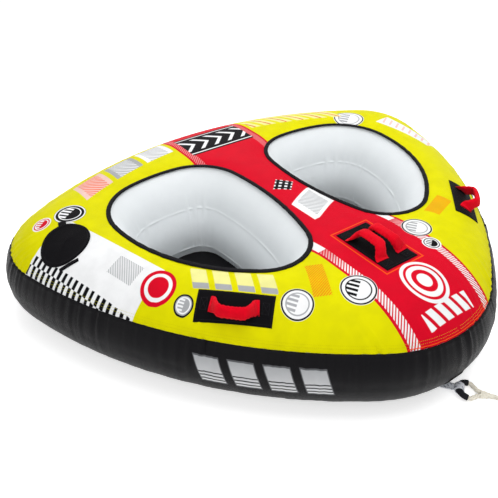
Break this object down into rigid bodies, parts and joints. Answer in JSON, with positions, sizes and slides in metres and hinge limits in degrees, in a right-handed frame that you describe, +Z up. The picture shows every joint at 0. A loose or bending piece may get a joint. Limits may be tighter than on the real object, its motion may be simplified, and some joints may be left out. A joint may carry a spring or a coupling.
{
  "type": "towable tube",
  "caption": "Inflatable towable tube with open cockpits for riders, padded hand grips that swing, a covered air valve, a zipped fabric cover and a tow strap with a rope lead.",
  "frame": {"origin": "middle of the hull's outline on the floor plane it rests on", "axes": "+Z up, -Y towards the nose and the tow strap, -X towards the left cockpit"},
  "size_m": [1.7728, 1.5896, 0.3883],
  "materials": {
    "bladder_pvc": "satin",
    "top_fabric": "satin",
    "black_fabric": "matte",
    "red_webbing": "matte",
    "grip_foam": "matte",
    "valve_plastic": "satin",
    "valve_rubber": "matte",
    "zip_plastic": "satin",
    "grey_webbing": "matte",
    "chafe_fabric": "matte",
    "rope": "matte"
  },
  "bodies": {
    "tube": {"bladder": "bladder_pvc", "top_panel": "top_fabric", "side_band": "black_fabric", "bottom_panel": "black_fabric", "left_rim_binding": "black_fabric", "right_rim_binding": "black_fabric", "left_grip_patch": "black_fabric", "right_grip_patch": "black_fabric", "centre_grip_patch": "black_fabric", "left_grip_tabs": "black_fabric", "right_grip_tabs": "black_fabric", "centre_left_grip_tabs": "black_fabric", "centre_right_grip_tabs": "black_fabric", "valve_base": "valve_plastic", "valve_diaphragm": "valve_rubber", "valve_tether": "valve_plastic", "valve_flap_hem": "black_fabric", "zip_tape": "black_fabric", "zip_teeth": "zip_plastic", "tow_patch": "black_fabric"},
    "left_grip": {"left_grip_sleeve": "red_webbing", "left_grip_core": "grip_foam"},
    "right_grip": {"right_grip_sleeve": "red_webbing", "right_grip_core": "grip_foam"},
    "centre_left_grip": {"centre_left_grip_sleeve": "red_webbing", "centre_left_grip_core": "grip_foam"},
    "centre_right_grip": {"centre_right_grip_sleeve": "red_webbing", "centre_right_grip_core": "grip_foam"},
    "flap": {"valve_flap": "black_fabric", "valve_flap_tab": "black_fabric"},
    "cap": {"valve_cap": "valve_plastic"},
    "slider": {"zip_slider": "zip_plastic"},
    "pull": {"zip_pull": "zip_plastic"},
    "tow_lead": {"tow_strap": "grey_webbing", "tow_strap_fold": "grey_webbing", "chafe_sleeve": "chafe_fabric", "rope_eye": "rope", "rope_splice": "rope", "tow_rope": "rope", "rope_knot": "rope"}
  },
  "joints": [
    {"name": "left_grip_swing", "type": "hinge", "parent": "tube", "child": "left_grip", "pos_m": [-0.47002, -0.33702, 0.31392], "axis": [0.7071, -0.7071, 0], "range_deg": [-140, 4]},
    {"name": "right_grip_swing", "type": "hinge", "parent": "tube", "child": "right_grip", "pos_m": [0.47002, -0.33702, 0.31392], "axis": [0.7071, 0.7071, 0], "range_deg": [-140, 4]},
    {"name": "centre_left_grip_swing", "type": "hinge", "parent": "tube", "child": "centre_left_grip", "pos_m": [-0.04, -0.378, 0.3498], "axis": [0, 1, 0], "range_deg": [-110, 8]},
    {"name": "centre_right_grip_swing", "type": "hinge", "parent": "tube", "child": "centre_right_grip", "pos_m": [0.04, -0.378, 0.3498], "axis": [0, -1, 0], "range_deg": [-110, 8]},
    {"name": "valve_flap_lift", "type": "hinge", "parent": "tube", "child": "flap", "pos_m": [-0.74193, 0.10828, 0.29162], "axis": [0.875, -0.2675, 0.4035], "range_deg": [0, 150]},
    {"name": "valve_cap_turn", "type": "hinge", "parent": "tube", "child": "cap", "pos_m": [-0.72, 0.18, 0.30905], "axis": [-0.3086, -0.1123, 0.9446], "range_deg": [0, 270]},
    {"name": "zip_slider_run", "type": "hinge", "parent": "tube", "child": "slider", "pos_m": [0, -0.64881, 0.142], "axis": [0, 0, -1], "range_deg": [0, 22]},
    {"name": "zip_pull_swing", "type": "hinge", "parent": "slider", "child": "pull", "pos_m": [-0.27436, 0.72425, 0.142], "axis": [0, 0, 1], "range_deg": [0, 170]},
    {"name": "tow_strap_lift", "type": "hinge", "parent": "tube", "child": "tow_lead", "pos_m": [0, -0.67441, 0.01916], "axis": [-1, 0, 0], "range_deg": [0, 30]}
  ]
}
